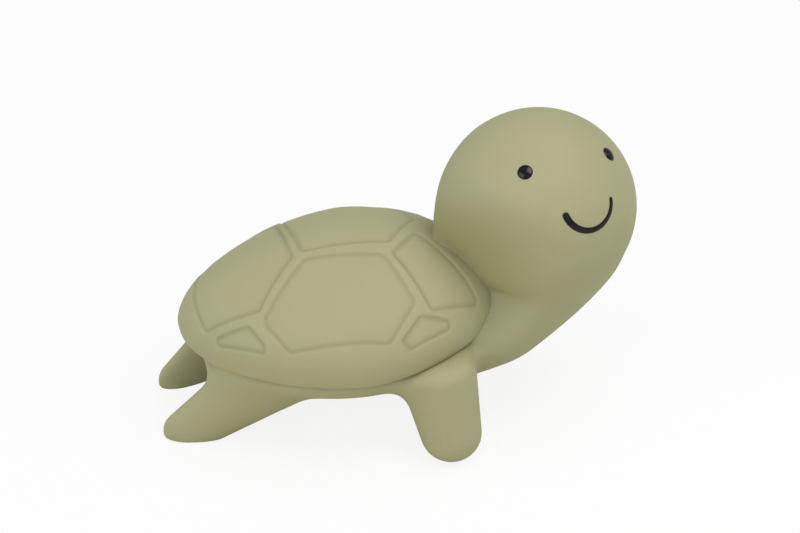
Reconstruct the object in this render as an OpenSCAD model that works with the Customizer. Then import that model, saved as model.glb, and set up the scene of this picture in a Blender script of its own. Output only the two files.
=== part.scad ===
// Squeaky bath toy: a hollow rubber sea turtle with a press-in squeaker in its belly.
// Millimetres, +Z up, +X towards the head, standing on its flippers at z = 0.

/* [Shell] */
// Length from the middle of the shell to its rear end
shell_rear = 47.5; // [40:0.5:50]
// Length from the middle of the shell to its front end
shell_front = 41; // [38:0.5:46]
// Width of the shell across its rim
shell_w = 69; // [62:1:80]
// Squareness of the shell's outline, where 2 is an ellipse
shell_n = 1.85; // [1.8:0.05:2.6]
// Height of the rim's widest line above the floor
rim_z = 33; // [31:0.5:38]
// Rise of the dome above the rim's widest line
dome_h = 19; // [14:0.5:22]
// Height of the rim's side below its widest line
lip_h = 5; // [4:0.5:7]
// How far the rim's side draws in towards the crease under it
lip_in = 1.5; // [0.5:0.1:2]
// Lift of the shell's front in degrees
shell_pitch = 3.6; // [0:0.2:6]
// Thickness of the rubber
wall = 2.5; // [1.8:0.1:3.5]

/* [Crown] */
// Width of the band of rim around the crown
rim_band = 4.5; // [4:0.1:7]
// Running gap around the crown
crown_gap = 0.3; // [0.2:0.05:0.5]
// Travel of the crown when the toy is squeezed
press = 6; // [2:0.5:7]
// Depth of the scutes below the ribs between them
scute_depth = 0.8; // [0.4:0.1:1.2]
// Width of the ribs between the scutes
rib_w = 3.6; // [2:0.2:5]
// Width of the rib along the spine
spine_w = 5.8; // [3:0.2:8]
// Width of plain rubber around the edge of the crown
crown_edge = 1.2; // [0.8:0.1:2]

/* [Belly] */
// Height of the belly's flat floor above the ground
belly_z = 15.5; // [12:0.5:18]
// Step in from the rim's crease to the belly's side
belly_step = 1.5; // [0.5:0.1:2.5]

/* [Head] */
// Distance of the head's centre in front of the middle of the shell
head_x = 50; // [47:0.5:56]
// Height of the head's centre above the floor
head_z = 58; // [54:0.5:64]
// Radius of the head
head_r = 26.3; // [24:0.1:29]
// Length of the neck's axis below the head's centre
neck_len = 52; // [46:1:60]
// Forward lean of the neck's axis in degrees
neck_tilt = 28; // [15:1:35]
// Narrowing of the neck's front and back towards the chest, in degrees from the axis
neck_taper = 17; // [12:1:28]
// Width of the neck's lower end
neck_w = 36; // [32:1:48]
// Share of the neck's width that is drawn in behind, where it crosses the shell
nape_pinch = 0.5; // [0:0.05:0.6]
// Share by which the neck's front swells to the throat
throat_swell = 0.12; // [0:0.01:0.2]

/* [Face] */
// Turn of the face from straight ahead, to the right when negative
face_yaw = -67; // [-90:1:90]
// Upward look of the face in degrees
face_pitch = 38; // [0:1:50]
// Angle of each eye from the middle of the face
eye_yaw = 30; // [20:0.5:40]
// Angle of the eyes above the line of sight
eye_pitch = 18; // [10:0.5:30]
// Angle by which the right eye sits higher and the left eye lower
eye_tilt = 2.8; // [-5:0.1:5]
// Radius of an eye
eye_r = 2; // [1.4:0.1:3]
// Depth of the flat seat under an eye
eye_seat = 0.7; // [0.4:0.1:1]
// How far an eye stands proud of the head
eye_proud = 0.5; // [0.2:0.1:1]
// Angle of each corner of the smile from the middle of the face
smile_yaw = 16; // [10:0.5:24]
// Angle of the smile's corners below the line of sight
smile_pitch = 8; // [2:0.5:14]
// Angle from the smile's corners down to its lowest point
smile_dip_pitch = 15; // [8:0.5:20]
// Width of the smile's line
smile_w = 1.7; // [1:0.1:2.6]
// How far the smile's line stands proud of the head
smile_proud = 0.3; // [0.1:0.1:0.6]
// Clearance of the paint in its groove
paint_gap = 0.05; // [0.02:0.01:0.1]

/* [Flippers] */
// Front flipper: distance of its foot in front of the middle of the shell
front_foot_x = 22.8; // [18:0.1:28]
// Front flipper: distance of its foot in from the side of the shell
front_in = 5.3; // [2:0.1:9]
// Front flipper: how far its shoulder lies in towards the middle plane
front_reach = 9; // [6:0.5:12]
// Front flipper: how far its foot stands in front of its shoulder
front_lean = 3; // [0:0.5:6]
// Front flipper: width at the shoulder
front_root_w = 21; // [17:0.5:24]
// Front flipper: width at the foot
front_foot_w = 16.5; // [13:0.5:20]
// Front flipper: thickness at the shoulder
front_t = 18; // [13:0.5:20]
// Rear flipper: distance of its tip behind the middle of the shell
rear_tip_x = 52; // [48:0.5:60]
// Rear flipper: distance of its tip in from the side of the shell
rear_in = 22.9; // [18:0.1:26]
// Rear flipper: how far its tip lies behind its root
rear_reach = 23.5; // [18:0.5:28]
// Rear flipper: how much wider apart the roots lie than the tips, on each side
rear_splay = 8.6; // [4:0.1:12]
// Rear flipper: how far its root lies above its tip
rear_rise = 18.3; // [14:0.1:22]
// Rear flipper: width at the root
rear_root_w = 17.5; // [14:0.5:22]
// Rear flipper: width at the tip
rear_foot_w = 8; // [6:0.5:12]
// Rear flipper: thickness at the root
rear_t = 9.5; // [7:0.5:12]
// How much of each flipper is cut flat where it stands
sole_cut = 0.8; // [0.5:0.1:1.5]

/* [Squeaker] */
// Radius of the plug, and of its hole in the belly
plug_r = 7; // [6:0.25:9]
// Width of the plug's outer flange
flange_w = 2; // [1:0.25:3]
// Thickness of the plug's floor and flange
flange_t = 1.2; // [0.8:0.1:2]
// Thickness of the plug's side
plug_wall = 1.5; // [1:0.1:2]
// Height of the plug above the inside of the belly
plug_rise = 5; // [4:0.25:8]
// How far the plug's snap bead stands out over the rubber
bead = 0.6; // [0.3:0.1:1]
// Height of the sloped side of the snap bead
bead_h = 1.8; // [1:0.2:3]
// Radius of the air hole
air_r = 1.5; // [1:0.1:2]
// Height of the reed holder's base
holder_h = 4; // [3:0.25:5]
// Radius of the holder's half-round tongue
tongue_r = 2.8; // [2.2:0.1:3.2]
// Height of the tongue above the holder's base
tongue_h = 9; // [7:0.5:12]
// Radius of the air channel in the tongue's flat face
channel_r = 1.2; // [0.8:0.1:1.6]
// Thickness of the reed
reed_t = 0.2; // [0.1:0.05:0.3]
// Width of the reed
reed_w = 4; // [3:0.25:5]
// Clearance on each side of the reed in its slot
reed_gap = 0.3; // [0.25:0.05:0.5]
// Length of the reed held in the slot
reed_root = 2; // [1:0.25:3]
// Lean of the resting reed away from the tongue in degrees
reed_lean = 4; // [2:0.5:5]

/* [Hidden] */

rubber = "#b3b189";
rubber_shade = "#a5a37c";
paint = "#1c1a19";
plug_white = "#e6e4da";
reed_amber = "#d8c48c";

sides = 48;
dome_steps = 9;
rim_steps = 5;
lip_steps = 4;
belly_steps = 6;
head_steps = 12;
neck_steps = 6;
flipper_steps = 9;
smile_steps = 10;
rib_sides = 16;
bead_sides = 14;
smile_sides = 10;
eye_steps = 6;
belly_turn = 68;
belly_n = 2.6;
pole = 2;
far = 200;
touch = 0.01;
tip_share = 0.94;

mid_x = (head_x + head_r - rear_tip_x) / 2;
crease_z = rim_z - lip_h;
belly_inset = lip_in + belly_step;
crown_inset = rim_band + crown_gap;
skirt_z = crease_z + press + crown_gap;
smile_sink = smile_w / 2 - smile_proud;
front_foot_y = shell_w / 2 - front_in;
rear_foot_y = shell_w / 2 - rear_in;
slot_w = reed_t + 2 * reed_gap;
holder_r = plug_r - plug_wall;
reed_len = reed_root + tongue_h - reed_gap;

// Ends of the ribs as shares of the shell's half length and half width, on the right side
spine_rear = [-0.4, 0];
spine_front = [0.3, 0];
rear_knee = [-0.62, -0.52];
rear_side = [-0.55, -0.9];
rear_end = [-0.97, -0.4];
front_knee = [0.42, -0.7];
front_side = [0.2, -0.95];
front_end = [0.8, -0.64];

// Directions across the flippers' thickness on the right side
front_flat = [0.1, -1, 0.4];
rear_flat = [-0.35, -0.92, 0.1];

// The shell's outline as one point per side, drawn in by inset and turned by a share of a side
function egg(inset, turn = 0) = [
    for (i = [0 : sides - 1])
        let (
            a = 360 * (i + turn) / sides,
            half_l = (cos(a) < 0 ? shell_rear : shell_front) - inset,
            half_w = shell_w / 2 - inset,
            r = pow(pow(abs(cos(a)) / half_l, shell_n) + pow(abs(sin(a)) / half_w, shell_n), -1 / shell_n)
        )
        r * [cos(a), sin(a)]
];

// A level ring of the outline at height z, scaled about its middle by k
function level(inset, z, k = 1) = [for (p = egg(inset)) [k * p.x, k * p.y, z]];

// A ring that lies on the dome, or on a dome grown outwards by grow
function on_dome(inset, k, grow = 0) =
    let (edge = egg(-grow), ring = egg(inset))
    [
        for (i = [0 : sides - 1])
            let (s = min(1, k * norm(ring[i]) / norm(edge[i])))
            [k * ring[i].x, k * ring[i].y, rim_z + (dome_h + grow) * sqrt(1 - s * s)]
    ];

// Rings of the rim's rounded side, from its widest line down to the crease
function lip(grow = 0) = [
    for (j = [1 : lip_steps])
        let (a = 90 * j / lip_steps)
        level(lip_in * (1 - cos(a)) - grow, rim_z - lip_h * sin(a))
];

// Rings of the belly's rounded side, from its flat floor up to the crease
function bowl(inset, floor_z) = [
    for (j = [0 : belly_steps])
        let (
            a = belly_turn * (1 - j / belly_steps),
            drop = pow(sin(a) / sin(belly_turn), 2 / belly_n)
        )
        level(inset, crease_z - (crease_z - floor_z) * drop, pow(cos(a), 2 / belly_n))
];

// A closed solid skinned over rings of equal count, capped at both ends or looped back to its first ring
module skin(rings, loop = false) {
    m = len(rings);
    bands = [
        for (j = [0 : m - (loop ? 1 : 2)], i = [0 : sides - 1])
            let (
                here = j * sides,
                next = ((j + 1) % m) * sides,
                k = (i + 1) % sides
            )
            each [[here + i, next + k, next + i], [here + i, here + k, next + k]]
    ];
    caps = [[for (i = [sides - 1 : -1 : 0]) i], [for (i = [0 : sides - 1]) (m - 1) * sides + i]];
    polyhedron(
        points = [for (ring = rings) each ring],
        faces = loop ? bands : concat(bands, caps)
    );
}

// Places the part's origin under the middle of its whole length
module placed() {
    translate([-mid_x, 0, 0])
        children();
}

// Lifts the shell's front about the rim's widest line
module lifted() {
    translate([0, 0, rim_z])
        rotate([0, -shell_pitch, 0])
            translate([0, 0, -rim_z])
                children();
}

// Shares of a quarter turn for the rings of a dome, closest together near its edge
function dome_share(j) = sin(90 * j / dome_steps);

// The whole shell as one filled solid, grown outwards by grow
module shell_solid(grow = 0) {
    dome = [for (j = [1 : dome_steps - 1]) on_dome(-grow, dome_share(j), grow)];
    skin(concat(dome, [level(-grow, rim_z)], lip(grow)));
}

// The whole belly as one filled solid that reaches up into the shell
module belly_solid() {
    rings = bowl(belly_inset, belly_z);
    side = [for (j = [len(rings) - 1 : -1 : 0]) rings[j]];
    skin(concat([level(belly_inset, rim_z)], side));
}

// Point of the shell's plan from its shares
function in_plan(p) = [p.x * (p.x < 0 ? shell_rear : shell_front), p.y * shell_w / 2, rim_z];

// Upright wall over one rib, from one end to the other
module rib(from, to, w = rib_w) {
    hull()
        for (p = [from, to])
            translate(in_plan(p))
                cylinder(r = w / 2, h = far, $fn = rib_sides);
}

// Ribs of the right side
module rib_side() {
    rib(spine_rear, rear_knee);
    rib(rear_knee, rear_side);
    rib(rear_knee, rear_end);
    rib(spine_front, front_knee);
    rib(front_knee, front_side);
    rib(front_knee, front_end);
}

// Everything that is sunk into the dome between the ribs
module scutes() {
    difference() {
        linear_extrude(far)
            polygon(egg(crown_inset + crown_edge, turn = 0.5));
        shell_solid(-scute_depth);
        rib(spine_rear, spine_front, spine_w);
        rib_side();
        mirror([0, 1, 0])
            rib_side();
    }
}

// Room for the crown under the neck, from its resting place inwards
module crown_room() {
    rings = [for (j = [1 : dome_steps]) on_dome(rim_band, j / dome_steps, crown_gap)];
    skin(concat(rings, [level(rim_band, crease_z)]));
}

// A level oval ring about the neck's axis, swelled in front and drawn in behind by a share of the full amounts
function oval(half_d, half_w, z, share = 0) = [
    for (i = [0 : sides - 1])
        let (
            a = 360 * i / sides,
            ahead = (1 + cos(a)) / 2,
            behind = 1 - ahead
        )
        [
            half_d * cos(a) * (1 + throat_swell * share * ahead * ahead),
            half_w * sin(a) * (1 - nape_pinch * share * behind * behind),
            z
        ]
];

// Rings of the head's ball and of the neck that runs on from it, drawn in by inset
function head_rings(inset) =
    let (
        r = head_r - inset,
        join_r = r * cos(neck_taper),
        join_z = -r * sin(neck_taper),
        end_d = join_r - (neck_len + join_z) * tan(neck_taper)
    )
    concat(
        [
            for (j = [0 : head_steps])
                let (a = 90 - pole - (90 - pole + neck_taper) * j / head_steps)
                oval(r * cos(a), r * cos(a), r * sin(a))
        ],
        [
            for (j = [1 : neck_steps])
                let (s = j / neck_steps)
                oval(
                    join_r + s * (end_d - join_r),
                    join_r + s * (neck_w / 2 - inset - join_r),
                    join_z - s * (neck_len + join_z),
                    max(0, sin(270 * s))
                )
        ]
    );

// Head and neck as one filled form that ends a touch above the belly's floor, drawn in by inset
module head_solid(inset = 0) {
    difference() {
        head_turned()
            skin(head_rings(inset));
        lifted()
            translate([-far / 2, -far / 2, belly_z + touch + inset - far])
                cube(far);
    }
}

// Moves a form whose axis is the neck's onto the neck
module head_turned() {
    translate([head_x, 0, head_z])
        rotate([0, neck_tilt, 0])
            children();
}

// Places a form on the head with its X axis pointing out, at angles measured on the face
module on_face(across, up) {
    translate([head_x, 0, head_z])
        rotate([0, 0, face_yaw])
            rotate([0, -face_pitch, 0])
                rotate([0, 0, across])
                    rotate([0, -up, 0])
                        translate([head_r, 0, 0])
                            children();
}

// One bead of the smile's line at share s of its length
module smile_bead(s, gap) {
    on_face(smile_yaw * cos(180 * s), -smile_pitch - smile_dip_pitch * sin(180 * s))
        translate([-smile_sink, 0, 0])
            sphere(r = smile_w / 2 + gap, $fn = smile_sides);
}

// The smile's line as a chain of beads, grown by gap
module smile_line(gap = 0) {
    for (j = [1 : smile_steps])
        hull() {
            smile_bead((j - 1) / smile_steps, gap);
            smile_bead(j / smile_steps, gap);
        }
}

// Places a form where an eye sits, on the left side for 1 and on the right side for -1
module at_eye(side) {
    on_face(side * eye_yaw, eye_pitch - side * eye_tilt)
        children();
}

// Flat-floored seat for one eye
module eye_socket(side) {
    at_eye(side)
        rotate([0, 90, 0])
            translate([0, 0, -eye_seat])
                cylinder(r = eye_r + paint_gap, h = far, $fn = 48);
}

// One domed eye on its seat
module eye(side) {
    side_h = eye_seat - eye_r * eye_r / (2 * head_r);
    dome_r = (eye_r * eye_r + eye_proud * eye_proud) / (2 * eye_proud);
    turn = asin(eye_r / dome_r);
    at_eye(side)
        rotate([0, 90, 0])
            translate([0, 0, -eye_seat])
                rotate_extrude($fn = 48)
                    polygon(concat(
                        [[0, 0], [eye_r, 0]],
                        [
                            for (j = [0 : eye_steps])
                                let (a = turn * (1 - j / eye_steps))
                                [dome_r * sin(a), side_h + dome_r * (cos(a) - cos(turn))]
                        ]
                    ));
}

// Point and direction at share s of a curve through a root, a bend and a foot
function curve_at(path, s) = (1 - s) * (1 - s) * path[0] + 2 * s * (1 - s) * path[1] + s * s * path[2];
function curve_dir(path, s) = (1 - s) * (path[1] - path[0]) + s * (path[2] - path[1]);
function unit(v) = v / norm(v);

// One bead of a flipper at share s of its curve, thin across the flat direction and leaf-shaped along it
module flipper_bead(path, s, root_w, foot_w, thick, flat) {
    along = unit(curve_dir(path, s));
    up = unit(flat - (flat * along) * along);
    across = cross(up, along);
    p = curve_at(path, s);
    w = foot_w + (root_w - foot_w) * cos(90 * s);
    multmatrix([
        [across.x, up.x, along.x, p.x],
        [across.y, up.y, along.y, p.y],
        [across.z, up.z, along.z, p.z]
    ])
        scale([w / 2, thick * w / root_w / 2, w / 2])
            sphere(r = 1, $fn = bead_sides);
}

// Flipper as a chain of beads, trimmed where it meets the body, the neck and the floor
module flipper(path, root_w, foot_w, thick, flat) {
    difference() {
        for (j = [1 : flipper_steps])
            hull() {
                flipper_bead(path, (j - 1) / flipper_steps, root_w, foot_w, thick, flat);
                flipper_bead(path, j / flipper_steps, root_w, foot_w, thick, flat);
            }
        lifted() {
            shell_solid();
            belly_solid();
        }
        head_solid();
        translate([-far / 2, -far / 2, -far])
            cube(far);
    }
}

// Front flipper of the right side, from its shoulder inside the body down to its foot
module front_flipper() {
    foot = [front_foot_x, -front_foot_y, front_foot_w / 2 - sole_cut];
    root = [front_foot_x - front_lean, -front_foot_y + front_reach, crease_z - lip_in];
    bend = [front_foot_x - front_lean, -front_foot_y, (root.z + foot.z) / 2];
    flipper([root, bend, foot], front_root_w, front_foot_w, front_t, front_flat);
}

// Rear flipper of the right side, a straight fin from its root inside the body back to its tip
module rear_flipper() {
    foot = [-rear_tip_x + tip_share * rear_foot_w / 2, -rear_foot_y, rear_foot_w / 2 - sole_cut];
    root = foot + [rear_reach, -rear_splay, rear_rise];
    flipper([root, (root + foot) / 2, foot], rear_root_w, rear_foot_w, rear_t, rear_flat);
}

module belly() {
    color(rubber_shade)
        placed()
            lifted()
                difference() {
                    belly_shell();
                    translate([0, 0, belly_z - wall])
                        cylinder(r = plug_r, h = 3 * wall);
                }
}

// Belly with its hollow, open at the top
module belly_shell() {
    outer = bowl(belly_inset, belly_z);
    inner = bowl(belly_inset + wall, belly_z + wall);
    skin(concat(inner, [for (j = [len(outer) - 1 : -1 : 0]) outer[j]]));
}

module shell_rim() {
    color(rubber)
        placed()
            lifted()
                rim_ring();
}

// Rim as a looped band, from its top edge over the lip and back up its inner wall
module rim_ring() {
    top = [for (j = [0 : rim_steps - 1]) on_dome(rim_band * (1 - sin(90 * j / rim_steps)), 1)];
    skin(concat(top, [level(0, rim_z)], lip(), [level(rim_band, crease_z)]), loop = true);
}

module crown() {
    color(rubber)
        placed()
            lifted()
                difference() {
                    crown_shell();
                    scutes();
                }
}

// Crown with its skirt, as one thickness of rubber
module crown_shell() {
    outer = [for (j = [1 : dome_steps]) on_dome(crown_inset, j / dome_steps)];
    inner = [for (j = [dome_steps : -1 : 1]) on_dome(crown_inset + wall, j / dome_steps, -wall)];
    skin(concat(outer, [level(crown_inset, skirt_z), level(crown_inset + wall, skirt_z)], inner));
}

module head() {
    color(rubber)
        placed()
            difference() {
                head_shell();
                lifted() {
                    shell_solid();
                    belly_solid();
                    crown_room();
                }
                smile_line(paint_gap);
                eye_socket(1);
                eye_socket(-1);
            }
}

// Hollow head and neck with a floor at the chest, open where the shell and the belly close it
module head_shell() {
    difference() {
        head_solid();
        head_solid(wall);
    }
}

module front_right_flipper() {
    color(rubber)
        placed()
            front_flipper();
}

module front_left_flipper() {
    color(rubber)
        placed()
            mirror([0, 1, 0])
                front_flipper();
}

module rear_right_flipper() {
    color(rubber_shade)
        placed()
            rear_flipper();
}

module rear_left_flipper() {
    color(rubber_shade)
        placed()
            mirror([0, 1, 0])
                rear_flipper();
}

module left_eye() {
    color(paint)
        placed()
            eye(1);
}

module right_eye() {
    color(paint)
        placed()
            eye(-1);
}

module smile() {
    color(paint)
        placed()
            smile_line();
}

// Places the squeaker's pieces with z = 0 at the outside of the belly's floor
module in_belly() {
    placed()
        lifted()
            translate([0, 0, belly_z])
                children();
}

module squeaker_housing() {
    plug_h = wall + plug_rise;
    color(plug_white)
        in_belly()
            rotate_extrude($fn = 64)
                polygon([
                    [air_r, -flange_t],
                    [plug_r + flange_w, -flange_t],
                    [plug_r + flange_w, 0],
                    [plug_r, 0],
                    [plug_r, wall],
                    [plug_r + bead, wall],
                    [plug_r, wall + bead_h],
                    [plug_r, plug_h],
                    [holder_r, plug_h],
                    [holder_r, 0],
                    [air_r, 0]
                ]);
}

// Half-round bar about the squeaker's axis, on the side where the tongue stands
module half_bar(r, h, edge) {
    intersection() {
        cylinder(r = r, h = h, $fn = 48);
        translate([-far - edge, -far / 2, 0])
            cube([far, far, h]);
    }
}

module reed_holder() {
    color(plug_white)
        in_belly()
            difference() {
                union() {
                    difference() {
                        cylinder(r = holder_r, h = holder_h, $fn = 64);
                        translate([0, 0, -touch])
                            cylinder(r = tongue_r, h = holder_h + 2 * touch, $fn = 48);
                    }
                    half_bar(tongue_r, holder_h + tongue_h, slot_w / 2);
                }
                translate([-slot_w / 2, 0, -touch])
                    cylinder(r = channel_r, h = holder_h + tongue_h - channel_r + touch, $fn = 32);
            }
}

module reed_wedge() {
    color(reed_amber)
        in_belly()
            mirror([1, 0, 0])
                half_bar(tongue_r, holder_h, slot_w / 2);
}

module squeaker_reed() {
    color(reed_amber)
        in_belly()
            translate([0, 0, holder_h])
                rotate([0, reed_lean, 0])
                    translate([-reed_t / 2, -reed_w / 2, -reed_root])
                        cube([reed_t, reed_w, reed_len]);
}

belly();
shell_rim();
crown();
head();
front_left_flipper();
front_right_flipper();
rear_left_flipper();
rear_right_flipper();
left_eye();
right_eye();
smile();
squeaker_housing();
reed_holder();
reed_wedge();
squeaker_reed();
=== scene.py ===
"""Looks of a squeaky bath toy, a hollow rubber sea turtle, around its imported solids.

The soft body is one implicit surface: a smooth union of simple forms, sampled on a grid and meshed with
surface nets. The carapace is a square's grid carried onto an egg-shaped dome, with scutes that are sunk by
their distance from rounded outlines. The paint is laid on the head's ball. Lengths are in millimetres until
a mesh is written, and the studio's are in metres.
"""

from __future__ import annotations

import logging
import math
from dataclasses import dataclass
from enum import Enum
from typing import Mapping, Sequence, Union

import bpy
import numpy as np
from mathutils import Matrix, Vector

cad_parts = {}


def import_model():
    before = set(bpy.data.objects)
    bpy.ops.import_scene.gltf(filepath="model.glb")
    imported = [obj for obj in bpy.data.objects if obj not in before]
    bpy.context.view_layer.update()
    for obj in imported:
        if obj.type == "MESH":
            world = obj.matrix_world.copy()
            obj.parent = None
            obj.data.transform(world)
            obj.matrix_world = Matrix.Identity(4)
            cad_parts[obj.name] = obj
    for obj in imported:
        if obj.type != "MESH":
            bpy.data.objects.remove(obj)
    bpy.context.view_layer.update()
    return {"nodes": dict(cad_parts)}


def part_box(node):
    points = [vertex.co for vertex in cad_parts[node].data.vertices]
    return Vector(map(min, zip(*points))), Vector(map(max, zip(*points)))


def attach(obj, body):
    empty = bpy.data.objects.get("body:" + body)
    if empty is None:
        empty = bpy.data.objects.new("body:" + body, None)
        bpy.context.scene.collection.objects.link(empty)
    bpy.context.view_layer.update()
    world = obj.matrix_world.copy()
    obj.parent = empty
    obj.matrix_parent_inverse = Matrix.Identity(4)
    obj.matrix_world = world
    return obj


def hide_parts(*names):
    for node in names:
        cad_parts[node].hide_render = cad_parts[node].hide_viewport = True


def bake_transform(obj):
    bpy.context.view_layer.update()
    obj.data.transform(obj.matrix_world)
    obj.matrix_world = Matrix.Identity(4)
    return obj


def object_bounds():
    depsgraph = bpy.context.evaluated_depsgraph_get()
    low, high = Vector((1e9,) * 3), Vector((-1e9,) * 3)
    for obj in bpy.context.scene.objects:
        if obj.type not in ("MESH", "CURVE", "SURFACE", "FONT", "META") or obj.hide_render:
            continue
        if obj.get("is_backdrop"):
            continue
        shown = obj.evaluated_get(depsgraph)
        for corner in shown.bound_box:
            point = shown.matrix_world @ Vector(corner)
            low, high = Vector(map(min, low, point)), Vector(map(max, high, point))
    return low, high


MM = 0.001
LOG = logging.getLogger("bath_toy")

Array = np.ndarray
Material = bpy.types.Material
Piece = bpy.types.Object
Place = tuple[float, float, float]
Colour = tuple[float, float, float]
WHITE = (1.0, 1.0, 1.0, 1.0)

# A screen's curve: straight up to the knee, then a power
SCREEN_MAX = 255
KNEE = 0.04045
FOOT = 12.92
OFFSET = 0.055
POWER = 2.4

# Sockets of a mix node that carry colours
MIX_SHARE, MIX_A, MIX_B, MIX_RESULT = 0, 6, 7, 2
NOISE_MEAN = 0.5

# Least divisors where the slope of a field vanishes
SLOPE_FLOOR = 1e-4
BOWL_FLOOR = 1e-3
TINY = 1e-6


class Slot(Enum):
    """Material slots of the record."""

    RUBBER = "rubber"
    EYE = "eye_paint"
    SMILE = "smile_paint"


class Body(Enum):
    """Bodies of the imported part."""

    BODY = "body"
    CROWN = "crown"


def linear(colour: Colour) -> tuple[float, float, float, float]:
    """Turns a colour on screen into scene light.

    Args:
        colour: Red, green and blue from 0 to 255.

    Returns:
        Linear red, green, blue and a full alpha.
    """
    share = np.array(colour, float) / SCREEN_MAX
    light = np.where(share <= KNEE, share / FOOT, ((share + OFFSET) / (1 + OFFSET)) ** POWER)
    return (*(float(v) for v in light), 1.0)


def smooth_min(a: Array, b: Array, reach: float | Array) -> Array:
    """Returns the lesser of two fields, lowered by a parabola where they differ by less than the reach."""
    near = np.maximum(reach - np.abs(a - b), 0) / reach
    return np.minimum(a, b) - near * near * reach / 4


def smooth_max(a: Array, b: Array, reach: float) -> Array:
    """Returns the greater of two fields, with its edge rounded where they differ by less than the reach."""
    return -smooth_min(-a, -b, reach)


def smooth_step(low: float, high: float, value: Array) -> Array:
    """Returns shares from 0 at low to 1 at high, eased as three squares of the share less two cubes."""
    share = np.clip((value - low) / (high - low), 0, 1)
    return share * share * (3 - 2 * share)


def unit(v: Array) -> Array:
    """Returns vectors, one per row, scaled to length one."""
    return v / np.linalg.norm(v, axis=-1, keepdims=True)


def power_norm(a: Array, b: Array, n: float) -> Array:
    """Returns the n-th root of the sum of the n-th powers of two sizes."""
    return (np.abs(a) ** n + np.abs(b) ** n) ** (1 / n)


def round_cone(p: Array, a: Array, b: Array, ra: float, rb: float) -> Array:
    """Distance to two balls and the cone that touches both.

    The point is put in the plane of the axis, as its height along the axis and its distance from it. Above
    and below the touching lines the nearer ball counts, and between them the cone's straight side.

    Args:
        p: Points, one per row.
        a: Centre of the larger ball.
        b: Centre of the smaller ball.
        ra: Radius of the larger ball.
        rb: Radius of the smaller ball.

    Returns:
        Signed distances, negative inside.
    """
    length = float(np.linalg.norm(b - a))
    axis = (b - a) / length
    q = p - a
    along = q @ axis
    across = np.sqrt(np.maximum((q * q).sum(-1) - along * along, 0))
    lean = (ra - rb) / length
    rise = math.sqrt(1 - lean * lean)
    place = along * rise - across * lean
    side = across * rise + along * lean - ra
    low = np.hypot(across, along) - ra
    high = np.hypot(across, along - length) - rb
    return np.where(place < 0, low, np.where(place > length * rise, high, side))


def surface_net(values: Array, origin: Array, step: float) -> tuple[Array, Array]:
    """Meshes the zero surface of a sampled field.

    Each cell that the surface crosses gets one vertex, at the mean of the crossings on its twelve edges. Each
    grid edge that crosses the surface joins the four cells around it with a quad that faces the outside.

    Args:
        values: Field on the grid, negative inside.
        origin: Place of the grid's first sample.
        step: Spacing of the samples.

    Returns:
        Vertices and quads.
    """
    cells = tuple(n - 1 for n in values.shape)
    inside = values < 0
    total = np.zeros(cells + (3,), np.float32)
    count = np.zeros(cells, np.float32)
    for axis in range(3):
        b, c = (axis + 1) % 3, (axis + 2) % 3
        for u, w in ((0, 0), (0, 1), (1, 0), (1, 1)):
            start = [slice(None, -1)] * 3
            start[b] = slice(u, u + cells[b])
            start[c] = slice(w, w + cells[c])
            end = list(start)
            end[axis] = slice(1, None)
            near, far = values[tuple(start)], values[tuple(end)]
            crossed = inside[tuple(start)] != inside[tuple(end)]
            total[..., axis] += np.where(crossed, near / np.where(crossed, near - far, 1), 0)
            total[..., b] += u * crossed
            total[..., c] += w * crossed
            count += crossed
    used = count > 0
    index = np.full(cells, -1, np.int64)
    index[used] = np.arange(used.sum())
    vertices = origin + (np.argwhere(used) + total[used] / count[used][:, None]) * step
    quads = []
    for axis in range(3):
        b, c = (axis + 1) % 3, (axis + 2) % 3
        start = np.take(inside, range(cells[axis]), axis)
        end = np.take(inside, range(1, cells[axis] + 1), axis)
        at = np.argwhere(start != end)
        at = at[(at[:, b] > 0) & (at[:, c] > 0) & (at[:, b] < cells[b]) & (at[:, c] < cells[c])]
        ring = []
        for u, w in ((1, 1), (0, 1), (0, 0), (1, 0)):
            cell = at.copy()
            cell[:, b] -= u
            cell[:, c] -= w
            ring.append(index[tuple(cell.T)])
        quad = np.stack(ring, 1)
        leaves = start[tuple(at.T)]
        quads.append(np.where(leaves[:, None], quad, quad[:, ::-1]))
    return vertices, np.concatenate(quads)


def ring_faces(rows: Array) -> Array:
    """Returns outward quads between rows of vertices that run down, each closed and anticlockwise."""
    after = np.roll(rows, -1, 1)
    return np.stack([rows[:-1], rows[1:], after[1:], after[:-1]], -1).reshape(-1, 4)


def cap_faces(ring: Array, tip: int, top: bool) -> Array:
    """Returns triangles from a closed anticlockwise ring to a tip, which face up at the top and else down."""
    sides = [ring, np.roll(ring, -1)] if top else [np.roll(ring, -1), ring]
    return np.stack([*sides, np.full(len(ring), tip)], 1)


def closed_tube(points: Array, tips: Array) -> tuple[Array, list[Array]]:
    """Closes rings of points with a tip at each end.

    Args:
        points: Points as rings by columns.
        tips: The tip before the first ring and the one after the last.

    Returns:
        Vertices, and arrays of quads and triangles.
    """
    index = np.arange(points.shape[0] * points.shape[1]).reshape(points.shape[:2])
    caps = [cap_faces(index[0], index.size, True), cap_faces(index[-1], index.size + 1, False)]
    return np.concatenate([points.reshape(-1, 3), tips]), [ring_faces(index), *caps]


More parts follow.
